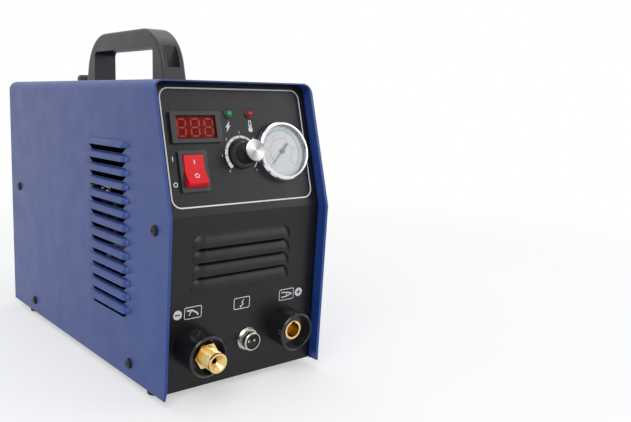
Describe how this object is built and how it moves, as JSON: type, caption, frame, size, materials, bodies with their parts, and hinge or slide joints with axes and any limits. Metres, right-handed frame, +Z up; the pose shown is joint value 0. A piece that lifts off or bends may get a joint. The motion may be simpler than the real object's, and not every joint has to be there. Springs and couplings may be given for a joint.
{
  "type": "plasma cutter power source",
  "caption": "Inverter air plasma cutter power source: folded steel case with carrying handle, control panel, torch and earth sockets, fan and rear air regulator.",
  "frame": {"origin": "on the floor under the middle of the outer box", "axes": "+Z up, the front panel faces -Y, +X to the right seen from the front"},
  "size_m": [0.163, 0.4416, 0.3085],
  "materials": {
    "aluminium": "extruded, mill finish",
    "black_paint": "satin powder coat",
    "black_plastic": "satin moulded",
    "black_steel": "black oxide",
    "blue_hose": "polyurethane",
    "blue_paint": "gloss powder coat with fine orange peel",
    "board_green": "solder mask",
    "brass": "machined",
    "capacitor_sleeve": "shrink sleeve",
    "choke_winding": "enamelled copper on a powder core",
    "chrome": "polished",
    "clear_bowl": "clear polycarbonate",
    "clear_glass": "polished",
    "copper_winding": "enamelled copper",
    "dial_white": "matt print",
    "digit_module": "gloss",
    "fan_plastic": "moulded",
    "ferrite": "sintered",
    "foot_rubber": "matt",
    "gland_nylon": "moulded nylon",
    "green_lens": "clear tint",
    "handle_plastic": "satin moulded",
    "knob_plastic": "satin moulded",
    "nickel": "nickel plated",
    "pointer_black": "black enamel",
    "red_lens": "clear tint",
    "red_plastic": "gloss, translucent",
    "red_window": "clear red tint",
    "regulator_casting": "grey enamelled casting",
    "socket_plastic": "semi-gloss moulded",
    "spun_aluminium": "spun face",
    "tinned_brass": "tinned",
    "transistor_epoxy": "moulded epoxy",
    "valve_body": "cast body with black coil",
    "zinc_steel": "zinc plated",
    "zinc_wire": "bright wire"
  },
  "bodies": {
    "case": {"air_inlet": "brass", "air_tube": "blue_hose", "base_pan": "black_paint", "capacitors": "capacitor_sleeve", "case_screws": "black_steel", "control_socket_insert": "black_plastic", "control_socket_nut": "nickel", "control_socket_pins": "nickel", "control_socket_shell": "nickel", "cover": "blue_paint", "display_bezel": "black_plastic", "display_digits": "digit_module", "display_window": "red_window", "earth_socket_body": "socket_plastic", "earth_socket_bolt": "zinc_steel", "earth_socket_sleeve": "brass", "fan_frame": "fan_plastic", "fan_guard": "zinc_wire", "fan_screws": "black_steel", "fault_led": "red_lens", "feet": "foot_rubber", "filter_bowl": "clear_bowl", "foot_screws": "zinc_steel", "front_panel": "black_paint", "gauge_case": "zinc_steel", "gauge_dial": "dial_white", "gauge_lens": "clear_glass", "gauge_movement": "brass", "gauge_rim": "chrome", "gland_cap": "gland_nylon", "handle": "handle_plastic", "handle_screws": "zinc_steel", "heat_sinks": "aluminium", "led_clips": "black_plastic", "main_board": "board_green", "mains_gland": "gland_nylon", "output_choke": "choke_winding", "pot_body": "zinc_steel", "power_transistors": "transistor_epoxy", "rear_panel": "black_paint", "regulator_body": "regulator_casting", "regulator_bracket": "black_paint", "run_led": "green_lens", "solenoid_valve": "valve_body", "switch_body": "black_plastic", "switch_terminals": "tinned_brass", "torch_adapter": "brass", "torch_collar": "socket_plastic", "torch_tube": "blue_hose", "transformer_core": "ferrite", "transformer_winding": "copper_winding"},
    "power_rocker": {"switch_rocker": "red_plastic"},
    "knob_set": {"current_knob": "knob_plastic", "knob_cap": "spun_aluminium", "pot_shaft": "zinc_steel"},
    "needle": {"gauge_pointer": "pointer_black"},
    "rotor": {"fan_rotor": "fan_plastic"},
    "adjuster": {"regulator_spindle": "zinc_steel"},
    "regulator_cap": {"regulator_knob": "black_plastic"},
    "drain": {"bowl_drain": "black_plastic"}
  },
  "joints": [
    {"name": "power_rocker_tilt", "type": "hinge", "parent": "case", "child": "power_rocker", "pos_m": [-0.0455, -0.17754, 0.18427], "axis": [1, 0, 0], "range_deg": [0, 24]},
    {"name": "current_knob_turn", "type": "hinge", "parent": "case", "child": "knob_set", "pos_m": [0.002, -0.18531, 0.19841], "axis": [0, 0.9696, -0.2449], "range_deg": [-135, 135]},
    {"name": "gauge_needle_turn", "type": "hinge", "parent": "case", "child": "needle", "pos_m": [0.0415, -0.17828, 0.19766], "axis": [0, 0.9696, -0.2449], "range_deg": [0, 270]},
    {"name": "fan_spin", "type": "hinge", "parent": "case", "child": "rotor", "pos_m": [0, 0.15478, 0.08], "axis": [0, 1, 0], "continuous": true},
    {"name": "regulator_turn", "type": "hinge", "parent": "case", "child": "adjuster", "pos_m": [0.026, 0.20078, 0.242], "axis": [0, 0, 1], "range_deg": [-720, 720]},
    {"name": "regulator_knob_lift", "type": "slide", "parent": "adjuster", "child": "regulator_cap", "axis": [0, 0, 1], "range_m": [0, 0.003]},
    {"name": "bowl_drain_turn", "type": "hinge", "parent": "case", "child": "drain", "pos_m": [0.026, 0.20078, 0.149], "axis": [0, 0, 1], "range_deg": [0, 90]}
  ]
}
